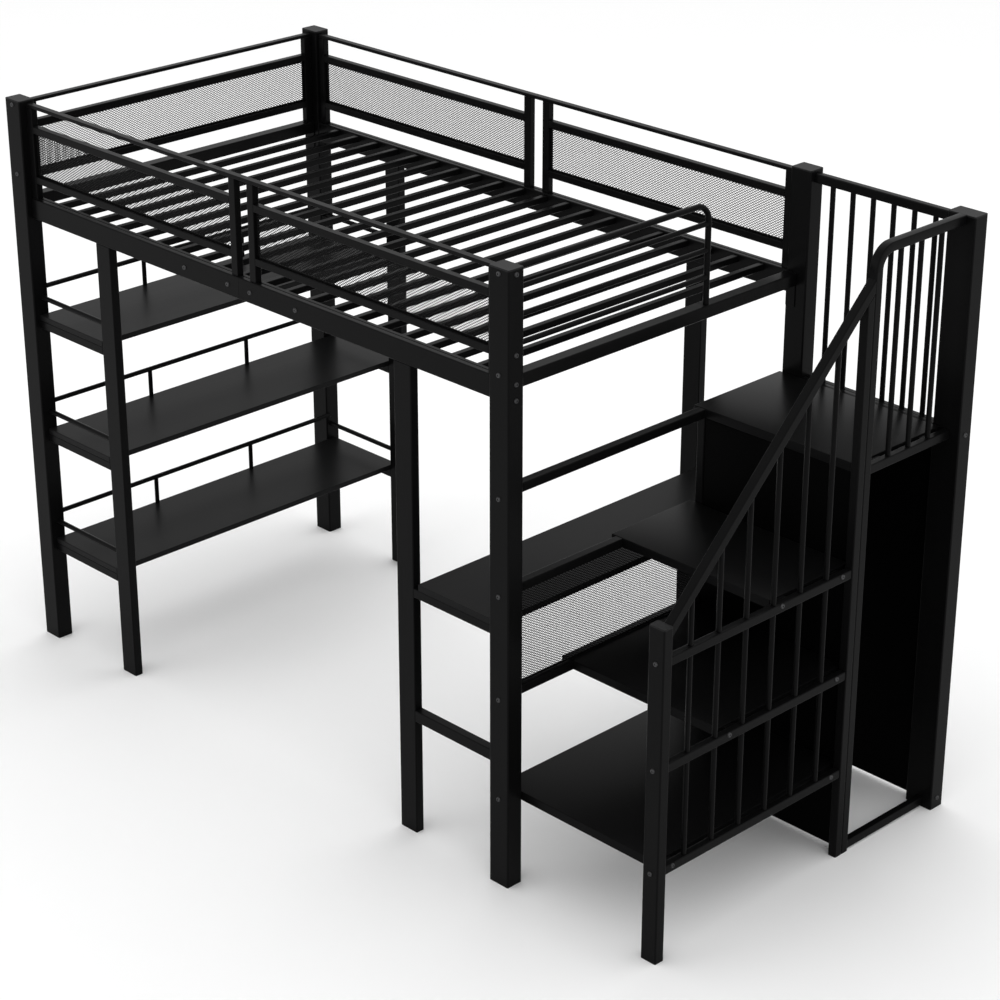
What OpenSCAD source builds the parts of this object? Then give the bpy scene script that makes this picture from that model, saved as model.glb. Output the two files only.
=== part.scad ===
// Metal loft bed with a desk, end shelves, a stair with storage treads and a wardrobe bay.
// Drawn with the outer face of the front left post at x = 0, y = 0 and the floor at z = 0,
// x along the bed, y from front to back; place() then centres it on the floor.

/* [Overall] */
// Length of the bed over its corner posts
bed_length = 1990; // [1650:1:2200]
// Width over the corner posts
bed_width = 1126; // [950:1:1360]
// Height of the posts with their caps
post_height = 1660; // [1620:5:1900]
// Width of the stair beyond the bed
stair_width = 514; // [430:2:620]

/* [Frame tubes] */
// Corner post size along the bed
post_w = 66; // [50:1:80]
// Corner post size across the bed
post_d = 50; // [40:1:60]
// Wide post at the back of the stair
stair_back_w = 84; // [60:1:100]
// Wall of the large tubes
post_wall = 1.2; // [1:0.1:3]
// Corner radius of the large tubes
post_round = 4; // [2:0.5:6]
// Thickness of a post cap
cap_t = 4; // [2:0.5:6]
// Depth of a cap's plug in the tube
cap_plug = 4; // [3:0.5:8]
// Height of the long side rails
rail_h = 60; // [45:1:80]
// Depth of the long side rails
rail_d = 30; // [20:1:30]
// Setback of the side rails behind the post faces
rail_set = 18; // [8:1:24]
// Height of the top of the side rails
rail_top = 1379; // [1320:1:1400]
// Length of the sleeve that joins the two halves of a side rail
sleeve_len = 545; // [500:5:700]
// Distance of the rail joint from the middle of the bed, towards the shelves
joint_shift = 18; // [0:1:60]
// Width of the end rails
end_rail_w = 36; // [25:1:45]
// Height of the end rails
end_rail_h = 35; // [25:1:50]
// Thickness of the end rail bracket plates
bracket_t = 3; // [2:0.5:5]
// Height of the bracket plates
bracket_h = 94; // [60:1:110]

/* [Slats] */
// Number of slats
slat_count = 20; // [12:1:26]
// Width and height of a slat tube
slat_size = 18; // [14:1:24]
// Wall of the thin tubes
thin_wall = 1; // [0.8:0.1:2]
// How far the slats lie below the rail top
slat_drop = 4; // [0:1:15]
// Space between an end post and the first slat
slat_margin = 78; // [40:1:120]

/* [Guards] */
// Width of a guard upright
upright_w = 25; // [18:1:32]
// Depth of the guard tubes
guard_d = 20; // [15:1:26]
// Height of the thin top rail of a guard
guard_top_h = 10; // [6:1:20]
// Gap between the post top and the guard top
guard_drop = 9; // [4:1:40]
// Height of the middle and lower guard rails
guard_rail_h = 20; // [14:1:26]
// Space from the guard top to the middle rail's top
guard_mid_drop = 61; // [40:1:90]
// Height of the mesh between the two rails
guard_mesh_h = 124; // [80:1:150]
// Gap between the two halves of a long guard
guard_gap = 48; // [30:1:80]
// Thickness of the mesh sheets
mesh_t = 1.5; // [1:0.1:3]
// Diameter of the bent guard tube at the stair end
bent_d = 16; // [10:1:20]
// Diameter of the bars inside the bent guard
bent_bar_d = 14; // [8:1:15]
// Bend radius at the centre of the bent tube
bent_r = 45; // [30:1:80]
// Distance from the front to the centre of the bent tube's upright
access_y = 735; // [560:1:800]
// Distance from the bed end post's inner face to the bent guard's centre
bent_set = 24; // [18:1:34]

/* [Shelves and desk] */
// Width of the shelf between its posts
shelf_w = 293; // [220:1:380]
// Width of the space for the desk between its posts
desk_w = 293; // [240:1:420]
// Shelf and desk post size along the bed
leg_w = 61; // [40:1:70]
// Shelf and desk post size across the bed
leg_d = 26; // [18:1:30]
// Thickness of the shelf boards
board_t = 16; // [12:1:22]
// Height of the top of the lowest shelf
shelf_low = 329; // [250:1:380]
// Height from one shelf to the next
shelf_pitch = 351; // [300:1:400]
// Height of the small cross tubes
bar_h = 25; // [18:1:32]
// Height of the top of the front rods above a shelf
rod_rise = 57; // [40:1:80]
// Height of the top of the side rods above a shelf
side_rod_rise = 92; // [80:1:120]
// Diameter of the shelf rods
rod_d = 14; // [8:1:18]
// Height of the top of the desk
desk_h = 735; // [680:1:780]
// Thickness of the desk board
desk_t = 18; // [14:1:25]
// Space left between the desk posts and the desk board
desk_gap = 18; // [5:1:40]
// Height of the top of the low desk brace
brace_top = 366; // [250:1:450]
// Height of the low desk brace
brace_h = 32; // [20:1:40]

/* [Stair] */
// Height of the top of the first tread
tread_1 = 263; // [230:1:290]
// Height of the top of the second tread
tread_2 = 546; // [520:1:570]
// Height of the top of the third tread
tread_3 = 830; // [800:1:850]
// Height of the top of the platform
deck_h = 1096; // [1075:1:1120]
// Front edge of the second tread
tread_2_y = 262; // [200:1:300]
// Front edge of the third tread
tread_3_y = 437; // [380:1:500]
// Sheet thickness of the treads
sheet_t = 1.2; // [1:0.1:3]
// Height of a tread's folded lip
lip_h = 24; // [15:1:30]
// Space between a tread and its side rail
tread_gap = 11; // [6:1:16]
// Newel post size along the bed
newel_w = 49; // [40:1:60]
// Newel post size across the bed
newel_d = 31; // [24:1:40]
// Height of the newel post with its cap
newel_h = 912; // [860:1:1000]
// Setback of the newel post's outer face from the wide back post's
newel_in = 22; // [10:1:30]
// Handrail tube size
hand_s = 25; // [20:1:30]
// Depth of the stair's side rails
side_rail_d = 20; // [16:1:24]
// Diameter of the balusters
baluster_d = 14; // [8:1:16]
// Distance from the newel post to the first stair baluster
baluster_first = 80; // [60:1:100]
// Distance from one stair baluster to the next
baluster_pitch = 98.8; // [80:0.2:120]
// Distance from the platform's posts to the nearest back baluster
back_edge = 53; // [45:1:70]
// Length of the tabs between the treads and the side rail
tab_len = 30; // [20:1:40]
// Bend radius of the handrail at its centre
hand_r = 50; // [35:1:70]
// Height of the sloped handrail's top where it meets the stair post
hand_meet = 1579; // [1480:1:1590]

/* [Wardrobe] */
// Thickness of the wardrobe's side and back panels
panel_t = 12; // [8:1:20]
// Gap under the panels
panel_low = 12; // [5:1:40]

/* [Fits and bolts] */
// Clearance between pieces that slide together
fit = 0.3; // [0.1:0.1:1]
// Bolt shank diameter
bolt_d = 6; // [5:1:8]
// Bolt head diameter
head_d = 13; // [11:1:16]
// Bolt head height
head_h = 3; // [2:0.5:5]

/* [Hidden] */
$fn = 32;
overall_length = bed_length + stair_width;
inner_l = post_w;
inner_r = bed_length - post_w;
back_y = bed_width - post_d;
rail_back_y = bed_width - rail_set - rail_d;
rail_low = rail_top - rail_h;
leg_front_y = rail_set;
leg_back_y = bed_width - rail_set - leg_d;
leg_top = rail_low;
shelf_post_x = inner_l + shelf_w;
desk_post_x = inner_r - desk_w - leg_w;
mid_x = bed_length / 2;
joint_x = mid_x - joint_shift;
guard_top = post_height - guard_drop;
mid_top = guard_top - guard_mid_drop;
mesh_top = mid_top - guard_rail_h;
low_top = mesh_top - guard_mesh_h;
guard_in = 4;
guard_y = rail_set + guard_in;
guard_back_y = bed_width - guard_y - guard_d;
end_rail_x = rail_set - guard_in;
end_rail_rx = inner_r;
slat_len = rail_back_y - rail_set - rail_d;
slat_z = rail_top - slat_drop - slat_size;
slat_pitch = (inner_r - inner_l - 2 * slat_margin - slat_size) / (slat_count - 1);
cross_in = 9;
cross_x = inner_r + cross_in;
newel_x = overall_length - newel_in - newel_w;
newel_y = rail_set;
hand_in = 5;
hand_x = newel_x + newel_w - hand_s - hand_in;
side_x = hand_x + (hand_s - side_rail_d) / 2;
baluster_x = hand_x + hand_s / 2;
stair_post_y = access_y;
guard_post_y = stair_post_y - hand_s;
tread_over = 6;
tread_x0 = inner_r - tread_over;
tread_x1 = side_x - tread_gap;
tread_y0 = post_d + 2;
tread_back = access_y - 1;
cross_z = [tread_1 - sheet_t - bar_h, tread_2 - sheet_t - bar_h,
    tread_3 - sheet_t - bar_h, deck_h - sheet_t - bar_h];
stair_back_x = overall_length - stair_back_w;
back_rail_in = 14;
back_rail_y = bed_width - back_rail_in - side_rail_d;
back_rail_z = guard_top - hand_s;
hand_y0 = newel_y + newel_d;
hand_slope = (hand_meet - newel_h) / (stair_post_y - hand_y0);
hand_angle = atan(hand_slope);
baluster_clear = 30;
stair_baluster_count = floor((stair_post_y - hand_y0 - baluster_first - baluster_clear) / baluster_pitch) + 1;
stair_baluster_ys = [for (k = [0:stair_baluster_count - 1])
    hand_y0 + baluster_first + k * baluster_pitch];
deck_baluster_count = 3;
deck_baluster_pitch = (back_y - stair_post_y - hand_s) / (deck_baluster_count + 1);
back_baluster_count = 6;
back_baluster_pitch = (stair_back_x - bed_length - 2 * back_edge) / (back_baluster_count - 1);
back_baluster_xs = [for (k = [0:back_baluster_count - 1])
    bed_length + back_edge + k * back_baluster_pitch];
shelf_heights = [shelf_low, shelf_low + shelf_pitch, shelf_low + 2 * shelf_pitch];
rod_grip = 8;
stub_parts = [0.338, 0.676];
splice_bolts = [-225, -45, 45, 225];
top_bolt_drop = 6;
top_bolt_z = guard_top - top_bolt_drop;
bolt_len = 16;
short_bolt = 5;
tab_front = 20;
tab_back = 75;
tab_ease = 4;
deck_tab_front = 60;
deck_tab_back = 90;
bottom_bar_z = 5;
fold_t = 1;
panel_in = 2;
back_panel_in = 4;
desk_x0 = desk_post_x + leg_w + desk_gap;

// Rounded rectangle outline.
module outline(a, b, r) {
    translate([r, 0]) square([a - 2 * r, b]);
    translate([0, r]) square([a, b - 2 * r]);
    for (x = [r, a - r]) {
        for (y = [r, b - r]) {
            translate([x, y]) circle(r);
        }
    }
}

// Rounded hollow section.
module section(a, b, r, w) {
    difference() {
        outline(a, b, r);
        translate([w, w]) square([a - 2 * w, b - 2 * w]);
    }
}

// Upright tube.
module tube_z(p, a, b, len, r = post_round, w = post_wall) {
    translate(p) linear_extrude(len) section(a, b, r, w);
}

// Tube along the bed, a across and b up.
module tube_x(p, len, a, b, r = 3, w = post_wall) {
    translate(p) rotate([90, 0, 90]) linear_extrude(len) section(a, b, r, w);
}

// Tube across the bed, a along the bed and b up.
module tube_y(p, len, a, b, r = 3, w = post_wall) {
    translate([p[0], p[1] + len, p[2]]) rotate([90, 0, 0]) linear_extrude(len) section(a, b, r, w);
}

// Square-edged box tube for welded frames, hollow along the axis of its greatest size.
module box_tube(p, s, w = thin_wall) {
    along = max(s);
    cut = [for (k = [0:2]) s[k] == along ? s[k] + 2 : s[k] - 2 * w];
    from = [for (k = [0:2]) s[k] == along ? -1 : w];
    translate(p) difference() {
        cube(s);
        translate(from) cube(cut);
    }
}

// Moves everything to the middle of the floor space.
module place() {
    translate([-overall_length / 2, -bed_width / 2, 0]) children();
}

// Bolt holes through a front face.
module front_holes(x, zs, y = 0, depth = 20) {
    for (z = zs) {
        translate([x, y - 1, z]) rotate([-90, 0, 0]) cylinder(d = bolt_d + 2 * fit, h = depth);
    }
}

// Bolt holes through a face that looks along +x.
module side_holes(x, y, zs, depth = 20) {
    for (z = zs) {
        translate([x + 1, y, z]) rotate([0, -90, 0]) cylinder(d = bolt_d + 2 * fit, h = depth);
    }
}

post_bolt_zs = [cross_z[0] + bar_h / 2, cross_z[1] + bar_h / 2, cross_z[2] + bar_h / 2,
    cross_z[3] + bar_h / 2 - 6, rail_top + 15, top_bolt_z];
left_bolt_zs = [low_top, top_bolt_z];
side_bolt_zs = [rail_low + 13, rail_top - 6, low_top, top_bolt_z];
newel_bolt_zs = [cross_z[0] + bar_h / 2, cross_z[1] + bar_h / 2, cross_z[2] + bar_h / 2];
right_bolt_x = bed_length - post_w / 2;
left_bolt_x = post_w / 2;
newel_bolt_x = newel_x + newel_w / 2;
side_bolts = [[tread_y0 + 26, 0], [stair_post_y - 60, 0], [tread_2_y + 8, 1],
    [stair_post_y - 60, 1], [tread_3_y + 10, 2], [stair_post_y - 60, 2]];
side_bolt_up = bar_h / 2 + 5;
back_bolt_y = bed_width - post_d / 2;
back_bolt_zs = [deck_h - 14, 30];

module post_front_left() {
    color("#191919") place() difference() {
        tube_z([0, 0, 0], post_w, post_d, post_height - cap_t);
        front_holes(left_bolt_x, left_bolt_zs);
    }
}

module post_back_left() {
    color("#191919") place() tube_z([0, back_y, 0], post_w, post_d, post_height - cap_t);
}

module post_front_right() {
    color("#191919") place() difference() {
        tube_z([inner_r, 0, 0], post_w, post_d, post_height - cap_t);
        front_holes(right_bolt_x, post_bolt_zs);
        side_holes(bed_length, post_d / 2, side_bolt_zs);
    }
}

module post_back_right() {
    color("#191919") place() tube_z([inner_r, back_y, 0], post_w, post_d, post_height - cap_t);
}

module post_stair_back() {
    color("#191919") place() difference() {
        tube_z([stair_back_x, back_y, 0], stair_back_w, post_d, post_height - cap_t);
        side_holes(overall_length, back_bolt_y, back_bolt_zs);
    }
}

module newel_post() {
    color("#191919") place() difference() {
        tube_z([newel_x, newel_y, 0], newel_w, newel_d, newel_h - cap_t);
        front_holes(newel_bolt_x, newel_bolt_zs, newel_y);
    }
}

module stair_post() {
    color("#191919") place()
        tube_z([hand_x, stair_post_y, 0], hand_s, hand_s, post_height - hand_r - hand_s / 2, 3);
}

// The stair guard's own end post stands in front of the stair post, cut under the handrail.
module stair_guard_post() {
    color("#191919") place() difference() {
        tube_z([hand_x, guard_post_y, 0], hand_s, hand_s, hand_under(stair_post_y), 3);
        under_handrail_cut(hand_x - 1, guard_post_y, hand_s + 2);
    }
}

// Short uprights between the cross tubes line up into one partition post.
module partition_post() {
    lows = [panel_low, cross_z[0] + bar_h, cross_z[1] + bar_h, cross_z[2] + bar_h];
    color("#191919") place() {
        for (k = [0:3]) {
            tube_z([cross_x, stair_post_y, lows[k]], bar_h, leg_d, cross_z[k] - lows[k], 3);
        }
    }
}

module leg(x, y) {
    tube_z([x, y, 0], leg_w, leg_d, leg_top, 3);
}

module shelf_post_front() {
    color("#191919") place() leg(shelf_post_x, leg_front_y);
}

module shelf_post_back() {
    color("#191919") place() leg(shelf_post_x, leg_back_y);
}

module desk_post_front() {
    color("#191919") place() leg(desk_post_x, leg_front_y);
}

module desk_post_back() {
    color("#191919") place() leg(desk_post_x, leg_back_y);
}

// Flat cap with a plug that slides into the tube.
module cap(x, y, a, b, top) {
    in = post_wall + fit;
    translate([x, y, top - cap_t]) linear_extrude(cap_t) outline(a, b, post_round);
    translate([x + in, y + in, top - cap_t - cap_plug]) cube([a - 2 * in, b - 2 * in, cap_plug + 1]);
}

module post_caps() {
    color("#2c2c2c") place() {
        cap(0, 0, post_w, post_d, post_height);
        cap(0, back_y, post_w, post_d, post_height);
        cap(inner_r, 0, post_w, post_d, post_height);
        cap(inner_r, back_y, post_w, post_d, post_height);
        cap(stair_back_x, back_y, stair_back_w, post_d, post_height);
        cap(newel_x, newel_y, newel_w, newel_d, newel_h);
    }
}

module splice_holes(y, xs) {
    for (x = xs) {
        translate([joint_x + x, y, rail_low + rail_h / 2]) rotate([-90, 0, 0])
            cylinder(d = bolt_d + 2 * fit, h = 12, center = true);
    }
}

module side_rail(x0, x1, y, face, xs) {
    difference() {
        tube_x([x0, y, rail_low], x1 - x0, rail_d, rail_h);
        splice_holes(face, xs);
    }
}

module side_rail_front_left() {
    color("#191919") place() side_rail(inner_l, joint_x, rail_set, rail_set, [splice_bolts[0], splice_bolts[1]]);
}

module side_rail_front_right() {
    color("#191919") place() side_rail(joint_x, inner_r, rail_set, rail_set, [splice_bolts[2], splice_bolts[3]]);
}

module side_rail_back_left() {
    color("#191919") place() side_rail(inner_l, joint_x, rail_back_y, rail_back_y + rail_d, [splice_bolts[0], splice_bolts[1]]);
}

module side_rail_back_right() {
    color("#191919") place() side_rail(joint_x, inner_r, rail_back_y, rail_back_y + rail_d, [splice_bolts[2], splice_bolts[3]]);
}

// Sleeves inside the side rails carry the joint between their two halves.
module rail_joining_sleeves() {
    in = post_wall + fit;
    color("#222222") place() {
        difference() {
            box_tube([joint_x - sleeve_len / 2, rail_set + in, rail_low + in],
                [sleeve_len, rail_d - 2 * in, rail_h - 2 * in], 2);
            splice_holes(rail_set, splice_bolts);
        }
        difference() {
            box_tube([joint_x - sleeve_len / 2, rail_back_y + in, rail_low + in],
                [sleeve_len, rail_d - 2 * in, rail_h - 2 * in], 2);
            splice_holes(rail_back_y + rail_d, splice_bolts);
        }
    }
}

module end_rail(x) {
    tube_y([x, post_d + bracket_t, rail_top - end_rail_h], back_y - post_d - 2 * bracket_t,
        end_rail_w, end_rail_h);
}

module end_rail_left() {
    color("#191919") place() end_rail(end_rail_x);
}

module end_rail_right() {
    color("#191919") place() end_rail(end_rail_rx);
}

// Bracket plates between the end rails and the posts.
module end_rail_brackets() {
    color("#101010") place() {
        for (x = [end_rail_x, end_rail_rx]) {
            for (y = [post_d, back_y - bracket_t]) {
                translate([x + 3, y, rail_top - bracket_h])
                    cube([end_rail_w - 6, bracket_t, bracket_h]);
            }
        }
    }
}

module bed_slats() {
    color("#191919") place() {
        for (k = [0:slat_count - 1]) {
            tube_y([inner_l + slat_margin + k * slat_pitch, rail_set + rail_d, slat_z], slat_len,
                slat_size, slat_size, 2, thin_wall);
        }
    }
}

// Welded guard frame along the bed from x0 to x1, its top rail from t0 to t1.
module guard_frame(x0, x1, t0, t1, y) {
    up_h = guard_top - guard_top_h - rail_top;
    box_tube([x0, y, rail_top], [upright_w, guard_d, up_h]);
    box_tube([x1 - upright_w, y, rail_top], [upright_w, guard_d, up_h]);
    box_tube([t0, y, guard_top - guard_top_h], [t1 - t0, guard_d, guard_top_h]);
    for (z = [mid_top, low_top]) {
        box_tube([x0 + upright_w, y, z - guard_rail_h],
            [x1 - x0 - 2 * upright_w, guard_d, guard_rail_h]);
    }
}

module guard_front_left() {
    color("#191919") place() guard_frame(inner_l, mid_x - guard_gap / 2, inner_l, mid_x, guard_y);
}

module guard_front_right() {
    color("#191919") place() guard_frame(mid_x + guard_gap / 2, inner_r, mid_x, inner_r, guard_y);
}

module guard_back_left() {
    color("#191919") place()
        guard_frame(inner_l, mid_x - guard_gap / 2, inner_l, mid_x, guard_back_y);
}

module guard_back_right() {
    color("#191919") place()
        guard_frame(mid_x + guard_gap / 2, inner_r, mid_x, inner_r, guard_back_y);
}

// Guard across the left end, between the two posts.
module guard_left_end() {
    x = end_rail_x + (end_rail_w - guard_d) / 2;
    up_h = guard_top - guard_top_h - rail_top;
    y0 = post_d;
    y1 = back_y;
    color("#191919") place() {
        box_tube([x, y0, rail_top], [guard_d, upright_w, up_h]);
        box_tube([x, y1 - upright_w, rail_top], [guard_d, upright_w, up_h]);
        box_tube([x, y0, guard_top - guard_top_h], [guard_d, y1 - y0, guard_top_h]);
        for (z = [mid_top, low_top]) {
            box_tube([x, y0 + upright_w, z - guard_rail_h],
                [guard_d, y1 - y0 - 2 * upright_w, guard_rail_h]);
        }
    }
}

// Mesh sheets fill the space between the middle and lower guard rails.
module guard_mesh() {
    long_l = mid_x - guard_gap / 2 - inner_l - 2 * upright_w;
    long_r = inner_r - mid_x - guard_gap / 2 - 2 * upright_w;
    x_end = end_rail_x + end_rail_w / 2 - mesh_t / 2;
    color("#141414") place() {
        for (y = [guard_y, guard_back_y]) {
            translate([inner_l + upright_w, y + (guard_d - mesh_t) / 2, low_top])
                cube([long_l, mesh_t, guard_mesh_h]);
            translate([mid_x + guard_gap / 2 + upright_w, y + (guard_d - mesh_t) / 2, low_top])
                cube([long_r, mesh_t, guard_mesh_h]);
        }
        translate([x_end, post_d + upright_w, low_top])
            cube([mesh_t, back_y - post_d - 2 * upright_w, guard_mesh_h]);
    }
}

// Bent round tube with three bars, beside the way in from the platform.
module guard_access_end() {
    x = inner_r + bent_set;
    top = guard_top - bent_d / 2;
    bar_zs = [mid_top + 2, (mid_top + low_top) / 2 + 5, low_top + 6];
    color("#191919") place() {
        translate([x, post_d, top]) rotate([-90, 0, 0])
            cylinder(d = bent_d, h = access_y - bent_r - post_d);
        translate([x, access_y - bent_r, top - bent_r]) rotate([0, -90, 0])
            rotate_extrude(angle = 90) translate([bent_r, 0]) circle(d = bent_d);
        translate([x, access_y, rail_top]) cylinder(d = bent_d, h = top - bent_r - rail_top);
        for (z = bar_zs) {
            translate([x, post_d, z]) rotate([-90, 0, 0])
                cylinder(d = bent_bar_d, h = access_y - post_d);
        }
    }
}

module shelf_board(top) {
    translate([inner_l + fit, rail_set, top - board_t])
        cube([shelf_w - 2 * fit, bed_width - 2 * rail_set, board_t]);
}

module shelf_board_top() {
    color("#202020") place() shelf_board(shelf_heights[2]);
}

module shelf_board_middle() {
    color("#202020") place() shelf_board(shelf_heights[1]);
}

module shelf_board_low() {
    color("#202020") place() shelf_board(shelf_heights[0]);
}

module shelf_bars(y) {
    for (z = shelf_heights) {
        tube_x([inner_l, y, z - board_t - bar_h], shelf_w, leg_d, bar_h, 2, thin_wall);
    }
}

module shelf_bars_front() {
    color("#191919") place() shelf_bars(leg_front_y);
}

module shelf_bars_back() {
    color("#191919") place() shelf_bars(leg_back_y);
}

module shelf_rods(y) {
    for (z = shelf_heights) {
        translate([inner_l, y + leg_d / 2, z + rod_rise - rod_d / 2]) rotate([0, 90, 0])
            cylinder(d = rod_d, h = shelf_w);
    }
}

module shelf_rods_front() {
    color("#191919") place() shelf_rods(leg_front_y);
}

module shelf_rods_back() {
    color("#191919") place() shelf_rods(leg_back_y);
}

// Side rods run from post to post beside the posts' inner corners, each on two short uprights.
module shelf_rods_side() {
    centre = side_rod_rise - rod_d / 2;
    run = bed_width - 2 * rail_set;
    x = inner_l + rod_d / 2;
    color("#191919") place() {
        for (z = shelf_heights) {
            translate([x, post_d - rod_grip, z + centre]) rotate([-90, 0, 0])
                cylinder(d = rod_d, h = bed_width - 2 * (post_d - rod_grip));
            for (part = stub_parts) {
                translate([x, rail_set + part * run, z]) cylinder(d = rod_d - fit, h = centre);
            }
        }
    }
}

// Desk board, notched round the posts of the bed end.
module desk_board() {
    notch = cross_x - inner_r + 1;
    color("#202020") place() difference() {
        translate([desk_x0, rail_set, desk_h - desk_t])
            cube([cross_x - fit - desk_x0, bed_width - 2 * rail_set, desk_t]);
        translate([inner_r - fit, 0, desk_h - desk_t - 1])
            cube([notch, post_d + fit, desk_t + 2]);
        translate([inner_r - fit, back_y - fit, desk_h - desk_t - 1])
            cube([notch, post_d + fit, desk_t + 2]);
    }
}

module desk_tube(y, z, h) {
    tube_x([desk_post_x + leg_w, y, z], desk_w, leg_d, h, 2, thin_wall);
}

module desk_bars() {
    color("#191919") place() {
        desk_tube(leg_front_y, desk_h - desk_t - bar_h, bar_h);
        desk_tube(leg_back_y, desk_h - desk_t - bar_h, bar_h);
    }
}

module desk_braces() {
    color("#191919") place() {
        desk_tube(leg_front_y, brace_top - brace_h, brace_h);
        desk_tube(leg_back_y, brace_top - brace_h, brace_h);
    }
}

// Cross tubes between the posts of the bed end; the treads rest on them.
module stair_crossbars() {
    color("#191919") place() {
        for (z = cross_z) {
            tube_y([cross_x, post_d, z], back_y - post_d, bar_h, bar_h, 2, thin_wall);
        }
    }
}

// Two mesh sheets behind the desk, one on each side of the partition post.
module modesty_mesh() {
    low = tread_2 + fit;
    h = cross_z[2] - low;
    x = cross_x + (bar_h - mesh_t) / 2;
    back_part = stair_post_y + leg_d;
    color("#141414") place() {
        translate([x, post_d, low]) cube([mesh_t, stair_post_y - post_d, h]);
        translate([x, back_part, low]) cube([mesh_t, back_y - back_part, h]);
    }
}

// Folded sheet tread: a flat top with a lip in front and one along each free side,
// and tabs that reach the side rail.
module tread(y0, y1, top) {
    w = tread_x1 - tread_x0;
    translate([tread_x0, y0, top - sheet_t]) cube([w, y1 - y0, sheet_t]);
    translate([tread_x0, y0, top - lip_h]) cube([w, sheet_t, lip_h]);
    translate([tread_x1 - sheet_t, y0, top - lip_h]) cube([sheet_t, y1 - y0, lip_h]);
    translate([cross_x + bar_h + fit, y1 - sheet_t, top - lip_h])
        cube([tread_x1 - cross_x - bar_h - fit, sheet_t, lip_h]);
    for (y = [y0 + tab_front, y1 - tab_back]) {
        translate([tread_x1 - 1, y, top - lip_h + tab_ease])
            cube([tread_gap + 1, tab_len, lip_h - 2 * tab_ease]);
    }
}

module front_lip_cut(y0, top) {
    translate([cross_x - fit, y0 - 1, top - lip_h - 1])
        cube([bar_h + 2 * fit, sheet_t + 2, lip_h + 1 - sheet_t]);
}

module tread_low() {
    color("#262626") place() difference() {
        tread(tread_y0, tread_back, tread_1);
        front_lip_cut(tread_y0, tread_1);
    }
}

module tread_middle() {
    color("#262626") place() difference() {
        tread(tread_2_y, tread_back, tread_2);
        front_lip_cut(tread_2_y, tread_2);
    }
}

module tread_high() {
    color("#262626") place() difference() {
        tread(tread_3_y, tread_back, tread_3);
        front_lip_cut(tread_3_y, tread_3);
    }
}

// The platform has a lip in front and fits between the two back posts.
module platform_sheet() {
    y0 = access_y + 1;
    y1 = back_y - 1;
    back = back_rail_y - fit;
    color("#262626") place() {
        difference() {
            union() {
                translate([tread_x0, y0, deck_h - sheet_t])
                    cube([tread_x1 - tread_x0, y1 - y0, sheet_t]);
                translate([tread_x0, y0, deck_h - lip_h]) cube([tread_x1 - tread_x0, sheet_t, lip_h]);
                translate([tread_x1 - sheet_t, y0, deck_h - lip_h]) cube([sheet_t, y1 - y0, lip_h]);
                translate([bed_length + 1, y1 - 1, deck_h - sheet_t])
                    cube([stair_back_x - bed_length - 2, back - y1 + 1, sheet_t]);
                for (y = [y0 + deck_tab_front, y1 - deck_tab_back]) {
                    translate([tread_x1 - 1, y, deck_h - lip_h + tab_ease])
                        cube([tread_gap + 1, tab_len, lip_h - 2 * tab_ease]);
                }
            }
            front_lip_cut(y0, deck_h);
        }
    }
}

// Side rails of the stair, drilled for the balusters.
module stair_side_rails() {
    color("#191919") place() {
        for (k = [0:2]) {
            difference() {
                tube_y([side_x, hand_y0, cross_z[k]], guard_post_y - hand_y0, side_rail_d, bar_h, 2,
                    thin_wall);
                for (y = stair_baluster_ys) {
                    translate([baluster_x, y, cross_z[k] - 1])
                        cylinder(d = baluster_d + 2 * fit, h = bar_h + 2);
                }
                for (b = side_bolts) {
                    if (b[1] == k) {
                        side_holes(side_x + side_rail_d, b[0], [cross_z[k] + side_bolt_up], 8);
                    }
                }
            }
        }
    }
}

// Height of the sloped handrail's underside at a distance y from the front.
function hand_under(y) =
    newel_h + hand_slope * (y - hand_y0) - hand_s / cos(hand_angle);

// Everything above the sloped handrail's underside near y, from x over a width.
module under_handrail_cut(x, y, width) {
    reach = 2 * hand_s;
    translate([x, y, hand_under(y)]) rotate([hand_angle, 0, 0])
        translate([0, -reach, 0]) cube([width, 2 * reach, 2 * reach]);
}

module stair_balusters() {
    color("#191919") place() {
        for (y = stair_baluster_ys) {
            top = hand_under(y) + hand_slope * baluster_d / 2;
            difference() {
                translate([baluster_x, y, cross_z[0]])
                    cylinder(d = baluster_d, h = top - cross_z[0]);
                under_handrail_cut(baluster_x - baluster_d, y, 2 * baluster_d);
            }
        }
    }
}

// Sloped handrail from the newel post to the stair post, cut to meet both.
module handrail() {
    run = stair_post_y - hand_y0;
    reach = run / cos(hand_angle);
    color("#191919") place() intersection() {
        translate([hand_x, hand_y0, newel_h]) rotate([hand_angle, 0, 0])
            translate([0, -60, -hand_s]) box_tube([0, 0, 0], [hand_s, reach + 120, hand_s], 1.5);
        translate([hand_x - 1, hand_y0, newel_h - 60]) cube([hand_s + 2, run, hand_meet]);
    }
}

// Bent tube on top of the stair post that runs level to the back post.
module top_handrail() {
    z = post_height - hand_s / 2;
    y = stair_post_y + hand_s / 2 + hand_r;
    color("#191919") place() {
        translate([hand_x, y, z - hand_r]) rotate([0, -90, 0]) mirror([0, 1, 0])
            mirror([0, 0, 1]) rotate_extrude(angle = 90)
                translate([hand_r - hand_s / 2, 0]) difference() {
                    square([hand_s, hand_s]);
                    translate([post_wall, post_wall])
                        square([hand_s - 2 * post_wall, hand_s - 2 * post_wall]);
                }
        box_tube([hand_x, y, z - hand_s / 2], [hand_s, back_y - y, hand_s], 1.5);
    }
}

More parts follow.
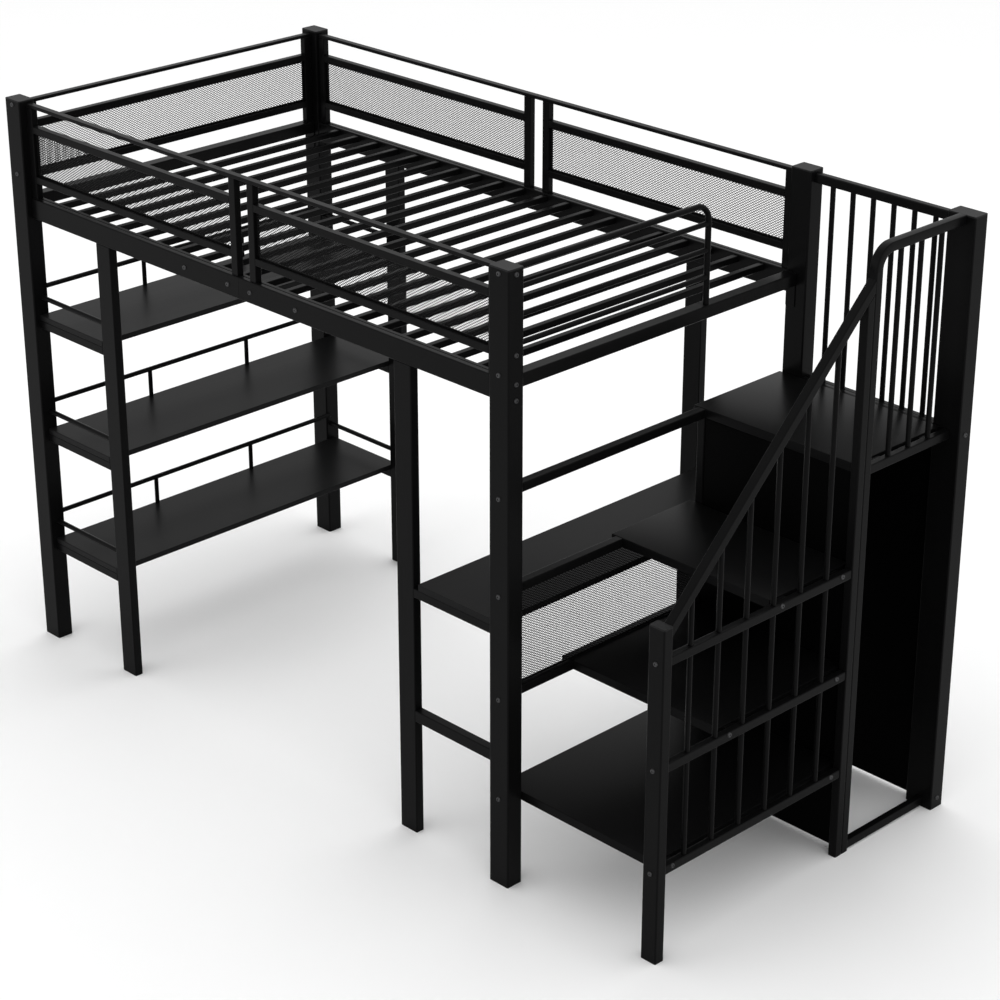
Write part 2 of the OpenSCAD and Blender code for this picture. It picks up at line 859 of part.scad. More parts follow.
module platform_side_rail() {
    y0 = stair_post_y + hand_s;
    color("#191919") place()
        difference() {
            tube_y([side_x, y0, cross_z[3]], back_y - y0, side_rail_d, bar_h, 2, thin_wall);
            for (k = [1:deck_baluster_count]) {
                translate([baluster_x, y0 + k * deck_baluster_pitch, cross_z[3] - 1])
                    cylinder(d = baluster_d + 2 * fit, h = bar_h + 2);
            }
        }
}

module platform_side_balusters() {
    y0 = stair_post_y + hand_s;
    color("#191919") place() {
        for (k = [1:deck_baluster_count]) {
            translate([baluster_x, y0 + k * deck_baluster_pitch, cross_z[3]])
                cylinder(d = baluster_d, h = post_height - hand_s - cross_z[3]);
        }
    }
}

module platform_back_rails() {
    color("#191919") place() {
        tube_x([bed_length, back_rail_y, back_rail_z], stair_back_x - bed_length, side_rail_d,
            hand_s, 2, thin_wall);
        difference() {
            tube_x([bed_length, back_rail_y, deck_h - bar_h], stair_back_x - bed_length,
                side_rail_d, bar_h, 2, thin_wall);
            for (x = back_baluster_xs) {
                translate([x, back_rail_y + side_rail_d / 2, deck_h - 5])
                    cylinder(d = baluster_d + 2 * fit, h = 10);
            }
        }
    }
}

module platform_back_balusters() {
    color("#191919") place() {
        for (x = back_baluster_xs) {
            translate([x, back_rail_y + side_rail_d / 2, deck_h - bar_h + thin_wall])
                cylinder(d = baluster_d, h = back_rail_z - deck_h + bar_h - thin_wall);
        }
    }
}

// Sheet panel with folded edges.
module panel_x(x0, x1, y, z0, z1) {
    difference() {
        translate([x0, y, z0]) cube([x1 - x0, panel_t, z1 - z0]);
        translate([x0 + fold_t, y + fold_t, z0 + fold_t])
            cube([x1 - x0 - 2 * fold_t, panel_t, z1 - z0 - 2 * fold_t]);
    }
}

module partition_panel() {
    color("#1c1c1c") place()
        panel_x(cross_x + bar_h, hand_x, stair_post_y + panel_in, panel_low, deck_h - lip_h - fit);
}

module back_panel() {
    color("#1c1c1c") place()
        panel_x(bed_length, stair_back_x, back_rail_y + back_panel_in, panel_low, deck_h - bar_h);
}

module wardrobe_bottom_bar() {
    y0 = stair_post_y + hand_s;
    color("#191919") place()
        tube_y([side_x, y0, bottom_bar_z], back_y - y0, side_rail_d, bar_h, 2, thin_wall);
}

// Button head bolt, its axis along +y and its head's underside at the origin.
module bolt(len = bolt_len) {
    rotate([-90, 0, 0]) cylinder(d = bolt_d, h = len);
    translate([0, -head_h, 0]) rotate([-90, 0, 0]) cylinder(d = head_d, h = head_h);
}

module bolts() {
    color("#0c0c0c") place() {
        for (z = left_bolt_zs) {
            translate([left_bolt_x, 0, z]) bolt();
        }
        for (z = post_bolt_zs) {
            translate([right_bolt_x, 0, z]) bolt();
        }
        for (z = side_bolt_zs) {
            translate([bed_length, post_d / 2, z]) rotate([0, 0, 90]) bolt();
        }
        for (z = newel_bolt_zs) {
            translate([newel_bolt_x, newel_y, z]) bolt();
        }
        for (z = back_bolt_zs) {
            translate([overall_length, back_bolt_y, z]) rotate([0, 0, 90]) bolt();
        }
        for (b = side_bolts) {
            translate([side_x + side_rail_d, b[0], cross_z[b[1]] + side_bolt_up])
                rotate([0, 0, 90]) bolt(short_bolt);
        }
        for (x = splice_bolts) {
            translate([joint_x + x, rail_set, rail_low + rail_h / 2]) bolt(short_bolt);
            translate([joint_x + x, rail_back_y + rail_d, rail_low + rail_h / 2])
                rotate([0, 0, 180]) bolt(short_bolt);
        }
    }
}

post_front_left();
post_back_left();
post_front_right();
post_back_right();
post_stair_back();
newel_post();
stair_post();
stair_guard_post();
partition_post();
shelf_post_front();
shelf_post_back();
desk_post_front();
desk_post_back();
post_caps();
side_rail_front_left();
side_rail_front_right();
side_rail_back_left();
side_rail_back_right();
rail_joining_sleeves();
end_rail_left();
end_rail_right();
end_rail_brackets();
bed_slats();
guard_front_left();
guard_front_right();
guard_back_left();
guard_back_right();
guard_left_end();
guard_mesh();
guard_access_end();
shelf_board_top();
shelf_board_middle();
shelf_board_low();
shelf_bars_front();
shelf_bars_back();
shelf_rods_front();
shelf_rods_back();
shelf_rods_side();
desk_board();
desk_bars();
desk_braces();
stair_crossbars();
modesty_mesh();
tread_low();
tread_middle();
tread_high();
platform_sheet();
stair_side_rails();
stair_balusters();
handrail();
top_handrail();
platform_side_rail();
platform_side_balusters();
platform_back_rails();
platform_back_balusters();
partition_panel();
back_panel();
wardrobe_bottom_bar();
bolts();
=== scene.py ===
import bpy
import bmesh
import math
from mathutils import Matrix, Vector


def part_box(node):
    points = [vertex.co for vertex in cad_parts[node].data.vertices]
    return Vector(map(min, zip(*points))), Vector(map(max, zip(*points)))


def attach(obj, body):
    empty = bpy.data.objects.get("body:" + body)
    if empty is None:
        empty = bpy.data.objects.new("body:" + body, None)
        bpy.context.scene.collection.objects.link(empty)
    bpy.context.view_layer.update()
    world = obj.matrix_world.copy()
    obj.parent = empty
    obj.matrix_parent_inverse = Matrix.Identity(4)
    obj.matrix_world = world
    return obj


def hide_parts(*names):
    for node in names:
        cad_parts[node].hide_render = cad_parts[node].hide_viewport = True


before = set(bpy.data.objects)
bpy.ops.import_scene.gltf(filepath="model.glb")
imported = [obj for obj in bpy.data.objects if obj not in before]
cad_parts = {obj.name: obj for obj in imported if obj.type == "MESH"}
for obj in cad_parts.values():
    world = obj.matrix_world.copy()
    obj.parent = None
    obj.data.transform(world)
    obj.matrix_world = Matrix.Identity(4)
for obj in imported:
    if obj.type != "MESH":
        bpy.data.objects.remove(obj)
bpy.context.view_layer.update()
print("bed frame loaded:", len(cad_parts), "parts")


cameraSetup = {
    "place": (4.87875, -4.63106, 3.73218),
    "right": (0.69826, 0.71585, 0.00042),
    "down": (0.29724, -0.28941, -0.90989),
    "ahead": (-0.65122, 0.63546, -0.41486),
    "lens": 96.82,
    "sensor": 36.0,
}


def addCamera(setup):
    data = bpy.data.cameras.new("bedCamera")
    data.lens = setup["lens"]
    data.sensor_width = setup["sensor"]
    data.sensor_fit = "HORIZONTAL"
    data.clip_end = 200
    camera = bpy.data.objects.new("bedCamera", data)
    right = Vector(setup["right"])
    up = -Vector(setup["down"])
    back = -Vector(setup["ahead"])
    turn = Matrix((right, up, back)).transposed().to_4x4()
    camera.matrix_world = Matrix.Translation(setup["place"]) @ turn
    bpy.context.scene.collection.objects.link(camera)
    bpy.context.scene.camera = camera
    return camera


addCamera(cameraSetup)

studio = {
    "worldColour": (1.0, 1.0, 1.0, 1.0),
    "worldStrength": 1.04,
    "overhead": {"place": (-1.2, 1.8, 5.2), "aim": (0, 0, 0.8), "size": (5.5, 4.0), "watts": 60},
    "front": {"place": (-2.6, -5.2, 2.8), "aim": (0.2, 0, 0.9), "size": (3.5, 3.0), "watts": 30},
    "right": {"place": (5.6, 1.0, 3.2), "aim": (0.4, 0, 0.8), "size": (2.5, 2.5), "watts": 8},
}


def addLight(name, facts):
    data = bpy.data.lights.new(name, "AREA")
    data.shape = "RECTANGLE"
    data.size, data.size_y = facts["size"]
    data.energy = facts["watts"]
    lamp = bpy.data.objects.new(name, data)
    lamp.location = facts["place"]
    aim = Vector(facts["aim"]) - Vector(facts["place"])
    lamp.rotation_euler = aim.to_track_quat("-Z", "Y").to_euler()
    bpy.context.scene.collection.objects.link(lamp)


def addWorld(colour, strength):
    world = bpy.data.worlds.new("studioWorld")
    world.use_nodes = True
    backdrop = world.node_tree.nodes["Background"]
    backdrop.inputs["Color"].default_value = colour
    backdrop.inputs["Strength"].default_value = strength
    bpy.context.scene.world = world


addWorld(studio["worldColour"], studio["worldStrength"])
for lampName in ("overhead", "front", "right"):
    addLight(lampName + "Light", studio[lampName])
bpy.context.scene.view_settings.view_transform = "Standard"
print("camera and lights set")


class Value:
    # one number from a node, which can be used in a sum
    def __init__(self, paint, socket):
        self.paint = paint
        self.socket = socket

    def sum(self, kind, first, second):
        return self.paint.node("ShaderNodeMath", {"operation": kind}, {0: first, 1: second})

    def __add__(self, other):
        return self.sum("ADD", self, other)

    def __radd__(self, other):
        return self.sum("ADD", other, self)

    def __sub__(self, other):
        return self.sum("SUBTRACT", self, other)

    def __rsub__(self, other):
        return self.sum("SUBTRACT", other, self)

    def __mul__(self, other):
        return self.sum("MULTIPLY", self, other)

    def __rmul__(self, other):
        return self.sum("MULTIPLY", other, self)


class Paint:
    def __init__(self, name):
        self.material = bpy.data.materials.new(name)
        self.material.use_nodes = True
        self.tree = self.material.node_tree
        self.shader = self.tree.nodes["Principled BSDF"]
        self.place = self.node("ShaderNodeTexCoord", {}, {}, "Object")

    def node(self, kind, settings, feeds, out=0):
        made = self.tree.nodes.new(kind)
        for key, value in settings.items():
            setattr(made, key, value)
        for key, value in feeds.items():
            self.feed(made.inputs[key], value)
        return Value(self, made.outputs[out])

    def feed(self, socket, value):
        if isinstance(value, Value):
            self.tree.links.new(value.socket, socket)
        else:
            socket.default_value = value

    def surface(self, name, value):
        self.feed(self.shader.inputs[name], value)

    def noise(self, scale, detail=2.0, place=None, roughness=0.5):
        return self.node("ShaderNodeTexNoise", {}, {"Vector": place or self.place, "Scale": scale,
                         "Detail": detail, "Roughness": roughness}, "Fac")

    def stretched(self, scale):
        return self.node("ShaderNodeMapping", {}, {"Vector": self.place, "Scale": scale})

    def blendColours(self, amount, first, second):
        mix = self.tree.nodes.new("ShaderNodeMix")
        mix.data_type = "RGBA"
        self.feed(mix.inputs[0], amount)
        self.feed(mix.inputs[6], first)
        self.feed(mix.inputs[7], second)
        return Value(self, mix.outputs[2])

    def bump(self, height, strength, distance):
        self.surface("Normal", self.node("ShaderNodeBump", {}, {"Height": height,
                     "Strength": strength, "Distance": distance}, "Normal"))


def shade(level):
    return (level, level, level * 1.03, 1.0)


powderFacts = {
    "dark": 0.0022, "light": 0.0040, "rough": 0.30, "cloudy": 0.10, "grainy": 0.08,
    "specular": 0.042, "cloud": 3.5, "grain": 900.0, "peel": 260.0, "bump": 0.10, "deep": 0.0004,
}


def powderCoat():
    facts = powderFacts
    paint = Paint("blackPowderCoat")
    cloud = paint.noise(facts["cloud"], 3.0)
    grain = paint.noise(facts["grain"], 3.0)
    peel = paint.noise(facts["peel"], 2.0)
    paint.surface("Base Color", paint.blendColours(cloud, shade(facts["dark"]), shade(facts["light"])))
    paint.surface("Roughness", facts["rough"] + (cloud - 0.5) * facts["cloudy"]
                  + (grain - 0.5) * facts["grainy"])
    paint.surface("Specular IOR Level", facts["specular"])
    paint.bump(peel + grain * 0.4, facts["bump"], facts["deep"])
    return paint.material


meshCoatFacts = {
    "dark": 0.002, "light": 0.0035, "rough": 0.42, "grainy": 0.12, "specular": 0.05,
    "cloud": 6.0, "grain": 700.0, "bump": 0.12, "deep": 0.0003,
}


def meshCoat():
    facts = meshCoatFacts
    paint = Paint("blackMeshCoat")
    grain = paint.noise(facts["grain"], 3.0)
    cloud = paint.noise(facts["cloud"], 2.0)
    paint.surface("Base Color", paint.blendColours(cloud, shade(facts["dark"]), shade(facts["light"])))
    paint.surface("Roughness", facts["rough"] + (grain - 0.5) * facts["grainy"])
    paint.surface("Specular IOR Level", facts["specular"])
    paint.bump(grain, facts["bump"], facts["deep"])
    return paint.material


boardFacts = {
    "dark": 0.0045, "light": 0.0075, "rough": 0.34, "figured": 0.10, "porous": 0.06,
    "specular": 0.045, "along": (60.0, 3.0, 60.0), "pores": (900.0, 60.0, 900.0),
    "bump": 0.08, "deep": 0.0002,
}


def boardLaminate():
    facts = boardFacts
    paint = Paint("blackLaminate")
    figure = paint.noise(1.0, 6.0, paint.stretched(facts["along"]), 0.6)
    pores = paint.noise(1.0, 2.0, paint.stretched(facts["pores"]))
    paint.surface("Base Color", paint.blendColours(figure, shade(facts["dark"]), shade(facts["light"])))
    paint.surface("Roughness", facts["rough"] + (figure - 0.5) * facts["figured"]
                  + (pores - 0.5) * facts["porous"])
    paint.surface("Specular IOR Level", facts["specular"])
    paint.bump(pores + figure * 0.5, facts["bump"], facts["deep"])
    return paint.material


sheetFacts = {
    "name": "satinSheetCoat", "dark": 0.0025, "light": 0.0045, "rough": 0.30, "cloudy": 0.08,
    "specular": 0.03, "cloud": 2.2, "grain": 1000.0, "sway": 4.0,
}
# black sheet coat made darker and less specular than the tread copy: the extra darkness is painted
# shade for panels that stand in shadow
panelPaintedShadeFacts = {
    "name": "panelCoatPaintedShade", "dark": 0.0007, "light": 0.0016, "rough": 0.38, "cloudy": 0.10,
    "specular": 0.01, "cloud": 1.8, "grain": 900.0, "sway": 3.0,
}
swayFacts = {"share": 3.0, "grain": 0.05, "grainy": 0.08, "bump": 0.10, "deep": 0.002}


def foldedSheetCoat(facts):
    # a thin folded sheet sways a little under its coat
    paint = Paint(facts["name"])
    cloud = paint.noise(facts["cloud"], 2.0)
    grain = paint.noise(facts["grain"], 2.0)
    sway = paint.noise(facts["sway"], 1.0)
    paint.surface("Base Color", paint.blendColours(cloud, shade(facts["dark"]), shade(facts["light"])))
    paint.surface("Roughness", facts["rough"] + (cloud - 0.5) * facts["cloudy"]
                  + (grain - 0.5) * swayFacts["grainy"])
    paint.surface("Specular IOR Level", facts["specular"])
    paint.bump(sway * swayFacts["share"] + grain * swayFacts["grain"], swayFacts["bump"],
               swayFacts["deep"])
    return paint.material


plasticFacts = {
    "dark": 0.008, "light": 0.012, "rough": 0.46, "grainy": 0.14, "specular": 0.08,
    "cloud": 12.0, "grain": 1200.0, "bump": 0.18, "deep": 0.0003,
}


def capPlastic():
    facts = plasticFacts
    paint = Paint("capPlastic")
    grain = paint.noise(facts["grain"], 3.0)
    cloud = paint.noise(facts["cloud"], 2.0)
    paint.surface("Base Color", paint.blendColours(cloud, shade(facts["dark"]), shade(facts["light"])))
    paint.surface("Roughness", facts["rough"] + (grain - 0.5) * facts["grainy"])
    paint.surface("Specular IOR Level", facts["specular"])
    paint.bump(grain, facts["bump"], facts["deep"])
    return paint.material


boltCoatFacts = {
    "dark": 0.02, "light": 0.07, "metal": 0.7, "worn": 0.4, "rough": 0.34, "grainy": 0.20,
    "wear": 140.0, "grain": 1500.0, "bump": 0.10, "deep": 0.0002,
}


def boltSteel():
    facts = boltCoatFacts
    paint = Paint("blackBoltSteel")
    grain = paint.noise(facts["grain"], 2.0)
    wear = paint.noise(facts["wear"], 3.0)
    paint.surface("Base Color", paint.blendColours(wear, shade(facts["dark"]), shade(facts["light"])))
    paint.surface("Metallic", facts["metal"] + (wear - 0.5) * facts["worn"])
    paint.surface("Roughness", facts["rough"] + (grain - 0.5) * facts["grainy"])
    paint.bump(grain, facts["bump"], facts["deep"])
    return paint.material


floorFacts = {
    "dull": (0.93, 0.93, 0.93, 1.0), "bright": (0.95, 0.95, 0.95, 1.0), "cloud": 0.6,
    "rough": 0.75, "cloudy": 0.05, "specular": 0.1, "half": 40.0,
}


def paleFloor():
    facts = floorFacts
    paint = Paint("paleFloor")
    cloud = paint.noise(facts["cloud"], 3.0)
    paint.surface("Base Color", paint.blendColours(cloud, facts["dull"], facts["bright"]))
    paint.surface("Roughness", facts["rough"] + (cloud - 0.5) * facts["cloudy"])
    paint.surface("Specular IOR Level", facts["specular"])
    return paint.material


finishes = {
    "powder_coat": powderCoat(),
    "mesh_steel": meshCoat(),
    "board": boardLaminate(),
    "tread_steel": foldedSheetCoat(sheetFacts),
    "panel_steel": foldedSheetCoat(panelPaintedShadeFacts),
    "cap_plastic": capPlastic(),
    "bolt_steel": boltSteel(),
}
floorPaint = paleFloor()
print("finishes mixed:", len(finishes))


def solidBoxes(nodeName):
    # lowest and highest corners of each separate solid in a part
    work = bmesh.new()
    work.from_mesh(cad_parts[nodeName].data)
    bmesh.ops.remove_doubles(work, verts=work.verts[:], dist=0.00001)
    work.verts.index_update()
    work.verts.ensure_lookup_table()
    seen = [False] * len(work.verts)
    boxes = []
    for start in range(len(work.verts)):
        if seen[start]:
            continue
        seen[start] = True
        stack = [work.verts[start]]
        low = Vector(work.verts[start].co)
        high = Vector(low)
        while stack:
            vert = stack.pop()
            for k in range(3):
                low[k] = min(low[k], vert.co[k])
                high[k] = max(high[k], vert.co[k])
            for edge in vert.link_edges:
                other = edge.other_vert(vert)
                if not seen[other.index]:
                    seen[other.index] = True
                    stack.append(other)
        boxes.append((low, high))
    work.free()
    return sorted(boxes, key=lambda b: [round(v, 3) for v in (*b[0], *b[1])])


def edgesOf(verts):
    return list({edge.index: edge for vert in verts for edge in vert.link_edges}.values())


def reachOf(edge, along):
    return abs(edge.verts[0].co[along] - edge.verts[1].co[along])


def roundEdges(work, edges, amount, steps):
    return bmesh.ops.bevel(work, geom=edges, offset=amount, offset_type="OFFSET", segments=steps,
                           profile=0.5, affect="EDGES", clamp_overlap=True, material=-1)


def startBlock(work, low, high):
    verts = bmesh.ops.create_cube(work, size=1.0)["verts"]
    bmesh.ops.scale(work, vec=high - low, verts=verts)
    bmesh.ops.translate(work, vec=(low + high) / 2, verts=verts)
    return verts


def addBar(work, low, high, corner=0.003, steps=3, ends=0.0005):
    low, high = Vector(low), Vector(high)
    size = high - low
    verts = startBlock(work, low, high)
    along = max(range(3), key=lambda k: size[k])
    work.edges.index_update()
    edges = [e for e in edgesOf(verts) if reachOf(e, along) > size[along] / 2]
    verts = roundEdges(work, edges, corner, steps)["verts"]
    if ends:
        work.edges.index_update()
        rim = [e for e in edgesOf(verts) if reachOf(e, along) < 0.00001]
        roundEdges(work, rim, ends, 1)


def addBlock(work, low, high, ease=None):
    verts = startBlock(work, Vector(low), Vector(high))
    if ease:
        work.edges.index_update()
        roundEdges(work, edgesOf(verts), ease, 2)


def addRod(work, start, end, radius, sides=20, caps=True):
    start, end = Vector(start), Vector(end)
    aim = end - start
    turn = aim.to_track_quat("Z", "Y").to_matrix().to_4x4()
    middle = Matrix.Translation((start + end) / 2) @ turn
    made = bmesh.ops.create_cone(work, cap_ends=caps, cap_tris=False, segments=sides, radius1=radius,
                                 radius2=radius, depth=aim.length, matrix=middle)
    for vert in made["verts"]:
        for face in vert.link_faces:
            face.smooth = len(face.verts) == 4


def finishPiece(name, work, slotName, nodes, smooth=False):
    mesh = bpy.data.meshes.new(name)
    bmesh.ops.recalc_face_normals(work, faces=work.faces[:])
    work.to_mesh(mesh)
    work.free()
    if smooth:
        mesh.shade_smooth()
        mesh.set_sharp_from_angle(angle=math.radians(38))
    piece = bpy.data.objects.new(name, mesh)
    bpy.context.scene.collection.objects.link(piece)
    mesh.materials.append(finishes[slotName])
    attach(piece, "root")
    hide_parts(*nodes)
    return piece


postFacts = {"corner": 0.004, "legCorner": 0.003, "steps": 4}
postPieces = {
    "frontLeftPost": "post_front_left", "backLeftPost": "post_back_left",
    "frontRightPost": "post_front_right", "backRightPost": "post_back_right",
    "stairBackPost": "post_stair_back", "newelPost": "newel_post",
}
legPieces = {
    "stairPost": "stair_post", "shelfPostFront": "shelf_post_front",
    "shelfPostBack": "shelf_post_back", "deskPostFront": "desk_post_front",
    "deskPostBack": "desk_post_back", "partitionPost": "partition_post",
}


def makeBars(name, nodeName, slotName, corner, steps=3, ends=0.0005):
    work = bmesh.new()
    for low, high in solidBoxes(nodeName):
        addBar(work, low, high, corner, steps, ends)
    return finishPiece(name, work, slotName, [nodeName])


for name, nodeName in postPieces.items():
    makeBars(name, nodeName, "powder_coat", postFacts["corner"], postFacts["steps"])
for name, nodeName in legPieces.items():
    makeBars(name, nodeName, "powder_coat", postFacts["legCorner"], postFacts["steps"])

capFacts = {"thick": 0.004, "corner": 0.004, "crown": 0.0014}


def makeCaps():
    work = bmesh.new()
    for low, high in solidBoxes("post_caps"):
        verts = startBlock(work, Vector((low.x, low.y, high.z - capFacts["thick"])), high)
        work.edges.index_update()
        sides = [e for e in edgesOf(verts) if reachOf(e, 2) > capFacts["thick"] / 2]
        made = roundEdges(work, sides, capFacts["corner"], 4)
        work.edges.index_update()
        rim = [e for e in edgesOf(made["verts"]) if min(v.co.z for v in e.verts) > high.z - 0.0001]
        roundEdges(work, rim, capFacts["crown"], 3)
    return finishPiece("postCaps", work, "cap_plastic", ["post_caps"])


makeCaps()
print("posts and caps made")


railFacts = {"corner": 0.003, "outer": 0.016, "slatCorner": 0.0025, "smallCorner": 0.0025}
railPieces = {
    "joiningSleeves": "rail_joining_sleeves", "endRailLeft": "end_rail_left",
    "endRailRight": "end_rail_right", "stairCrossTubes": "stair_crossbars",
    "shelfTubesFront": "shelf_bars_front", "shelfTubesBack": "shelf_bars_back",
    "deskTubes": "desk_bars", "deskBraces": "desk_braces",
    "stairSideRails": "stair_side_rails", "platformSideRail": "platform_side_rail",
    "platformBackRails": "platform_back_rails", "wardrobeBottomTube": "wardrobe_bottom_bar",
}
for name, nodeName in railPieces.items():
    corner = railFacts["corner"] if "Rail" in name else railFacts["smallCorner"]
    makeBars(name, nodeName, "powder_coat", corner)

sideRails = {
    "sideRailFrontLeft": "side_rail_front_left", "sideRailFrontRight": "side_rail_front_right",
    "sideRailBackLeft": "side_rail_back_left", "sideRailBackRight": "side_rail_back_right",
}


def makeSideRail(name, nodeName):
    # two tubes side by side, so a seam runs along the top
    low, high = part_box(nodeName)
    outer = railFacts["outer"] if low.y < 0 else high.y - low.y - railFacts["outer"]
    seam = low.y + outer
    work = bmesh.new()
    addBar(work, low, (high.x, seam, high.z), railFacts["corner"])
    addBar(work, (low.x, seam, low.z), high, railFacts["corner"])
    return finishPiece(name, work, "powder_coat", [nodeName])


for name, nodeName in sideRails.items():
    makeSideRail(name, nodeName)
makeBars("bedSlats", "bed_slats", "powder_coat", railFacts["slatCorner"])
print("rails and slats made")


guardFacts = {
    "upright": 0.025, "topRail": 0.010, "rail": 0.020, "halfGap": 0.024, "midDrop": 0.061,
    "meshHeight": 0.124, "corner": 0.002, "middleBarUp": 0.005,
    "highBarUp": 0.002, "lowBarUp": 0.006,
}


def longGuard(name, nodeName, gapOnRight):
    low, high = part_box(nodeName)
    facts = guardFacts
    x0 = low.x if gapOnRight else low.x + facts["halfGap"]
    x1 = high.x - facts["halfGap"] if gapOnRight else high.x
    work = bmesh.new()
    top = high.z - facts["topRail"]
    for x in (x0, x1 - facts["upright"]):
        addBar(work, (x, low.y, low.z), (x + facts["upright"], high.y, top), facts["corner"])
    addBar(work, (low.x, low.y, top), (high.x, high.y, high.z), facts["corner"])
    midTop = high.z - facts["midDrop"]
    lowTop = midTop - facts["rail"] - facts["meshHeight"]
    for z in (midTop, lowTop):
        addBar(work, (x0 + facts["upright"], low.y, z - facts["rail"]),
               (x1 - facts["upright"], high.y, z), facts["corner"])
    return finishPiece(name, work, "powder_coat", [nodeName])


def endGuard(name, nodeName):
    low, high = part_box(nodeName)
    facts = guardFacts
    work = bmesh.new()
    top = high.z - facts["topRail"]
    for y in (low.y, high.y - facts["upright"]):
        addBar(work, (low.x, y, low.z), (high.x, y + facts["upright"], top), facts["corner"])
    addBar(work, (low.x, low.y, top), (high.x, high.y, high.z), facts["corner"])
    midTop = high.z - facts["midDrop"]
    lowTop = midTop - facts["rail"] - facts["meshHeight"]
    for z in (midTop, lowTop):
        addBar(work, (low.x, low.y + facts["upright"], z - facts["rail"]),
               (high.x, high.y - facts["upright"], z), facts["corner"])
    return finishPiece(name, work, "powder_coat", [nodeName])


longGuard("guardFrontLeft", "guard_front_left", True)
longGuard("guardFrontRight", "guard_front_right", False)
longGuard("guardBackLeft", "guard_back_left", True)
longGuard("guardBackRight", "guard_back_right", False)
endGuard("guardLeftEnd", "guard_left_end")

bentFacts = {"tube": 0.016, "bar": 0.014, "bend": 0.045, "sides": 24, "barSides": 20, "turnSteps": 10}


def only(kind, geometry):
    return [item for item in geometry if isinstance(item, kind)]


def openInside(work, sides):
    # the walls left across the tube where it was extruded
    across = [f for f in work.faces if len(f.verts) == sides
              and any(len(e.link_faces) > 2 for e in f.edges)]
    bmesh.ops.delete(work, geom=across, context="FACES_ONLY")


def addBentTube(work, first, corner, last, radius, bend, sides, steps):
    # a round tube that turns a right angle at the corner
    first, corner, last = Vector(first), Vector(corner), Vector(last)
    ahead = (corner - first).normalized()
    after = (last - corner).normalized()
    turn = ahead.to_track_quat("Z", "Y").to_matrix().to_4x4()
    ring = bmesh.ops.create_circle(work, cap_ends=True, cap_tris=False, radius=radius, segments=sides,
                                   matrix=Matrix.Translation(first) @ turn)["verts"]
    face = [f for f in ring[0].link_faces if len(f.verts) == sides]
    straight = (corner - first).length - bend
    made = bmesh.ops.extrude_face_region(work, geom=face)["geom"]
    bmesh.ops.translate(work, vec=ahead * straight, verts=only(bmesh.types.BMVert, made))
    end = only(bmesh.types.BMFace, made)
    centre = corner - ahead * bend + after * bend
    spun = bmesh.ops.spin(work, geom=end, cent=centre, axis=ahead.cross(after), dvec=(0, 0, 0),
                          angle=math.radians(90), steps=steps, use_duplicate=False)["geom_last"]
    end = only(bmesh.types.BMFace, spun)
    made = bmesh.ops.extrude_face_region(work, geom=end)["geom"]
    bmesh.ops.translate(work, vec=after * ((last - corner).length - bend),
                        verts=only(bmesh.types.BMVert, made))
    openInside(work, sides)


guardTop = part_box("guard_left_end")[1].z
midTop = guardTop - guardFacts["midDrop"]
lowTop = midTop - guardFacts["rail"] - guardFacts["meshHeight"]
barHeights = (midTop + guardFacts["highBarUp"], (midTop + lowTop) / 2 + guardFacts["middleBarUp"],
              lowTop + guardFacts["lowBarUp"])


def makeAccessGuard():
    low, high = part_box("guard_access_end")
    x = (low.x + high.x) / 2
    tube, bend = bentFacts["tube"] / 2, bentFacts["bend"]
    y1 = high.y - tube
    work = bmesh.new()
    addBentTube(work, (x, low.y, high.z - tube), (x, y1, high.z - tube), (x, y1, low.z), tube, bend,
                bentFacts["sides"], bentFacts["turnSteps"])
    for z in barHeights:
        addRod(work, (x, low.y, z), (x, y1, z), bentFacts["bar"] / 2, bentFacts["barSides"])
    return finishPiece("guardStairEnd", work, "powder_coat", ["guard_access_end"], smooth=True)


makeAccessGuard()
print("guards made")


meshFacts = {
    "pitch": 0.0110, "slope": 0.62, "wide": 0.0019, "thin": 0.0008, "thick": 0.0009,
    "shortest": 0.001, "edging": 0.005, "edgingDeep": 0.00144, "edgingCorner": 0.0005,
}


def addStrand(work, first, last, across, width, thick):
    first, last = Vector(first), Vector(last)
    aim = last - first
    side = aim.normalized().cross(across) * width / 2
    deep = across * thick / 2
    verts = bmesh.ops.create_circle(work, cap_ends=True, segments=4, radius=1.0)["verts"]
    for vert, (a, b) in zip(verts, ((1, 1), (-1, 1), (-1, -1), (1, -1))):
        vert.co = first + side * a + deep * b
    made = bmesh.ops.extrude_face_region(work, geom=[verts[0].link_faces[0]])["geom"]
    bmesh.ops.translate(work, vec=aim, verts=only(bmesh.types.BMVert, made))


